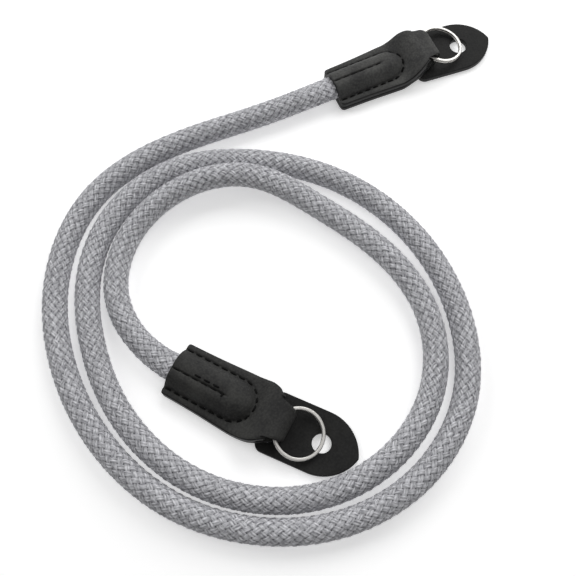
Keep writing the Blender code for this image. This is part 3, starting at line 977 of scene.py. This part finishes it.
def seam_lines(end):
    """The seams as lists of (along, across): round the rope's end, down the middle, and the near tab's tacks."""
    arc = np.radians(np.arange(90, -91, -6))
    side = seam_across(end)
    around = [(SEAM_START, side)]
    around += [(SEAM_ARC_ALONG + side * math.cos(a), side * math.sin(a)) for a in arc]
    around += [(SEAM_START, -side)]
    middle = MIDDLE_ACROSS[end.name]
    lines = [around, [(MIDDLE_SEAM[0], middle), (MIDDLE_SEAM[1], middle)]]
    if end.name == "near":
        lines.append([(9.5 * MM, middle + TACK_ASIDE), (16.5 * MM, middle + TACK_ASIDE)])
        lines.append([(19.6 * MM, middle), (19.6 * MM, middle + TACK_ASIDE)])
    return lines


def seam_object(end):
    """The seams as one curve above the tab, which the stitches are dropped from."""
    curve = bpy.data.curves.new("seams", "CURVE")
    curve.dimensions = "3D"
    for line in seam_lines(end):
        spline = curve.splines.new("POLY")
        spline.points.add(len(line) - 1)
        for point, (along, across) in zip(spline.points, line):
            point.co = (*(end_matrix(end) @ Vector((along, across, 20 * MM))), 1)
    return show("seams", curve)


stitches = stitch_tree()
thread_finish = thread_material()
for strap_end, tab in zip(ENDS, tabs):
    seams = seam_object(strap_end)
    thread = piece_from_tree(
        f"{strap_end.name}_tab_stitches",
        stitches,
        {
            "Seams": seams,
            "Leather": tab,
            "Pitch": STITCH_PITCH,
            "Stitch length": STITCH_LENGTH,
            "Dip": STITCH_DIP,
            "Thread radius": THREAD_RADIUS,
            "Material": thread_finish,
        },
    )
    bpy.data.objects.remove(seams)
    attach(thread, "strap")


# Split rings
# Two turns of flat spring wire, rolled one on the other and nickel plated, with the jog between them that
# lets the ring be wound onto a camera's lug. The ring hangs in the fold and lies on the pad.
RING_OUTER = 8.9 * MM
RING_WIRE_WIDE = 1.2 * MM
RING_WIRE_THICK = 0.65 * MM
RING_WIRE_EASE = 0.3 * MM
RING_SLIT = 0.1 * MM
RING_BEYOND_FOLD = 7.5 * MM
RING_STEP_DEG = 4
RING_JOG_DEG = 28
RING_JOG_AT_DEG = 208


def nickel_material():
    """Bright nickel plate: warm white metal, with fine marks that vary its tone and shine."""
    material, tree, shader = new_material("bright_nickel_plate")
    place = add_node(tree, "ShaderNodeTexCoord").outputs["Object"]
    marks = add_node(
        tree, "ShaderNodeTexNoise", {"Vector": place, "Scale": 1 / (1.5 * MM), "Detail": 6, "Roughness": 0.7}
    ).outputs["Fac"]
    shine = add_node(tree, "ShaderNodeMapRange", {"Value": marks, "To Min": 0.36, "To Max": 0.5})
    tree.links.new(shine.outputs[0], shader.inputs["Roughness"])
    ramp = add_node(tree, "ShaderNodeValToRGB", {"Fac": marks})
    ramp.color_ramp.elements[0].color = linear("#c4c2be")
    ramp.color_ramp.elements[1].color = linear("#dddbd7")
    tree.links.new(ramp.outputs["Color"], shader.inputs["Base Color"])
    shader.inputs["Metallic"].default_value = 1
    return material


def ring_slope():
    """How far a ring lying on the pad slopes down from the fold, in radians."""
    thick = RING_WIRE_THICK * 2 + RING_SLIT
    drop = fold_axis_height() - (LEATHER + GAP + thick / 2)
    return math.asin(drop / (RING_BEYOND_FOLD + RING_OUTER))


def wire_section():
    """The flat wire in section, with quarter-round corners."""
    curve = bpy.data.curves.new("wire_section", "CURVE")
    corners = []
    for x, y, start in ((1, -1, 270), (1, 1, 0), (-1, 1, 90), (-1, -1, 180)):
        for degrees in (0, 30, 60, 90):
            angle = math.radians(start + degrees)
            centre_x = x * (RING_WIRE_WIDE / 2 - RING_WIRE_EASE)
            centre_y = y * (RING_WIRE_THICK / 2 - RING_WIRE_EASE)
            corners.append((centre_x + RING_WIRE_EASE * math.cos(angle), centre_y + RING_WIRE_EASE * math.sin(angle)))
    spline = curve.splines.new("POLY")
    spline.points.add(len(corners) - 1)
    for point, (x, y) in zip(spline.points, reversed(corners)):
        point.co = (x, y, 0, 1)
    spline.use_cyclic_u = True
    return show("wire_section", curve)


def make_ring(end, section, finish):
    curve = bpy.data.curves.new(f"{end.name}_ring_wire", "CURVE")
    curve.dimensions = "3D"
    curve.twist_mode = "Z_UP"
    curve.bevel_mode = "OBJECT"
    curve.bevel_object = section
    curve.use_fill_caps = True
    rise = (RING_WIRE_THICK + RING_SLIT) / 2
    whole_turn = 360 - RING_JOG_DEG
    turned = np.arange(0, 2 * whole_turn + RING_JOG_DEG + 1, RING_STEP_DEG)
    spline = curve.splines.new("POLY")
    spline.points.add(len(turned) - 1)
    radius = RING_OUTER - RING_WIRE_WIDE / 2
    for point, degrees in zip(spline.points, turned):
        angle = math.radians(RING_JOG_AT_DEG + RING_JOG_DEG / 2 + degrees)
        jog = smooth_step(degrees, whole_turn, 360)
        point.co = (radius * math.cos(angle), radius * math.sin(angle), rise * (2 * jog - 1), 1)
    spline.use_smooth = True
    curve.materials.append(finish)
    hinge = Matrix.Translation((FOLD_ALONG, 0, fold_axis_height())) @ Matrix.Rotation(ring_slope(), 4, "Y")
    place = end_matrix(end) @ hinge @ Matrix.Translation((RING_BEYOND_FOLD, 0, 0))
    ring = plain_mesh(show(curve.name, curve), place)
    ring.data.set_sharp_from_angle(angle=math.radians(60))
    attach(ring, f"{end.name}_ring")
    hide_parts(f"{end.name}_split_ring")


nickel_finish = nickel_material()
section = wire_section()
for strap_end in ENDS:
    make_ring(strap_end, section, nickel_finish)
bpy.data.objects.remove(section)


# Lug pads
# A flat piece of the same leather under each ring keeps it off the camera's side. It is cut to a pointed
# arch, and the camera's strap lug comes up through its punched hole.
PAD_HALF_WIDTH = 10.8 * MM
PAD_REAR = 35.0 * MM
PAD_REAR_CORNER = 3.0 * MM
PAD_ARCH_START = 54.5 * MM
PAD_TIP = 68.8 * MM
PAD_HOLE_ALONG = 55.6 * MM
PAD_HOLE_RADIUS = 3.3 * MM
PAD_EDGE = 0.35 * MM


def pad_outline(arch_steps=24, corner_steps=8):
    reach = PAD_TIP - PAD_ARCH_START
    arch_radius = (reach**2 + PAD_HALF_WIDTH**2) / (2 * PAD_HALF_WIDTH)
    side = []
    for angle in np.linspace(math.asin(reach / arch_radius), 0, arch_steps + 1):
        across = PAD_HALF_WIDTH - arch_radius * (1 - math.cos(angle))
        side.append((PAD_ARCH_START + arch_radius * math.sin(angle), across))
    for angle in np.linspace(math.pi / 2, math.pi, corner_steps + 1):
        along = PAD_REAR + PAD_REAR_CORNER * (1 + math.cos(angle))
        side.append((along, PAD_HALF_WIDTH - PAD_REAR_CORNER * (1 - math.sin(angle))))
    mirrored = [(along, -across) for along, across in reversed(side[1:])]
    return [(along - FOLD_ALONG, across) for along, across in side + mirrored]


def make_pad(end, leather, edge):
    curve = bpy.data.curves.new(f"{end.name}_pad_leather", "CURVE")
    curve.dimensions = "2D"
    curve.fill_mode = "BOTH"
    curve.extrude = LEATHER / 2 - PAD_EDGE
    curve.bevel_depth = PAD_EDGE
    curve.bevel_resolution = 2
    curve.offset = -PAD_EDGE
    hole = PAD_HOLE_ALONG - FOLD_ALONG
    circle = [
        (hole + PAD_HOLE_RADIUS * math.cos(math.tau * i / 64), PAD_HOLE_RADIUS * math.sin(math.tau * i / 64))
        for i in range(64)
    ]
    for points in (pad_outline(), circle):
        spline = curve.splines.new("POLY")
        spline.points.add(len(points) - 1)
        for point, place in zip(spline.points, points):
            point.co = (*place, 0, 1)
        spline.use_cyclic_u = True
    turn = Matrix.Rotation(math.radians(end.pad_turn_deg), 4, "Z")
    place = end_matrix(end) @ Matrix.Translation((FOLD_ALONG, 0, LEATHER / 2)) @ turn
    pad = plain_mesh(show(curve.name, curve), place)
    pad.data.materials.append(leather)
    pad.data.materials.append(edge)
    for face in pad.data.polygons:
        face.material_index = 0 if abs(face.normal.z) > 0.9 else 1
    pad.data.shade_smooth()
    pad.data.set_sharp_from_angle(angle=math.radians(35))
    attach(pad, "strap")
    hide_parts(f"{end.name}_lug_pad")


pad_finish = leather_material("waxed_black_pad_leather", *PAD_LEATHER)
for strap_end in ENDS:
    make_pad(strap_end, pad_finish, edge_finish)


# Floor and light
# A white table that also glows a little, as a light table does, under a large soft light from behind on the
# right, a weaker one from the left and a broad weak one overhead, in a dim pale room.
bpy.context.scene.view_settings.view_transform = "Standard"
FLOOR_HALF = 1.5
FLOOR_GLOW = 0.4
SoftBox = namedtuple("SoftBox", "name place_m size_m watts")
SOFT_BOXES = (
    SoftBox("back_softbox", (0.32, 0.65, 0.6), 0.8, 5.1),
    SoftBox("left_softbox", (-0.6, 0.35, 0.6), 0.6, 2.7),
    SoftBox("top_softbox", (0.3, -0.1, 0.85), 0.9, 1.7),
)
ROOM_LIGHT = 0.1

floor_mesh = bpy.data.meshes.new("floor")
corners = [(x * FLOOR_HALF, y * FLOOR_HALF, 0) for x, y in ((-1, -1), (1, -1), (1, 1), (-1, 1))]
floor_mesh.from_pydata(corners, [], [(0, 1, 2, 3)])
floor = show("floor", floor_mesh)
floor_finish, floor_tree, floor_shader = new_material("white_table")
floor_shader.inputs["Base Color"].default_value = linear("#f2f2f2")
floor_shader.inputs["Roughness"].default_value = 0.8
floor_shader.inputs["Emission Color"].default_value = (1, 1, 1, 1)
floor_shader.inputs["Emission Strength"].default_value = FLOOR_GLOW
floor_mesh.materials.append(floor_finish)

world = bpy.data.worlds.new("pale_room")
world.use_nodes = True
world.node_tree.nodes["Background"].inputs["Color"].default_value = (1, 1, 1, 1)
world.node_tree.nodes["Background"].inputs["Strength"].default_value = ROOM_LIGHT
bpy.context.scene.world = world

for box in SOFT_BOXES:
    light = bpy.data.lights.new(box.name, "AREA")
    light.shape = "DISK"
    light.size = box.size_m
    light.energy = box.watts
    lamp = show(box.name, light)
    lamp.location = AIM + Vector(box.place_m)
    lamp.rotation_euler = (AIM - lamp.location).to_track_quat("-Z", "Y").to_euler()
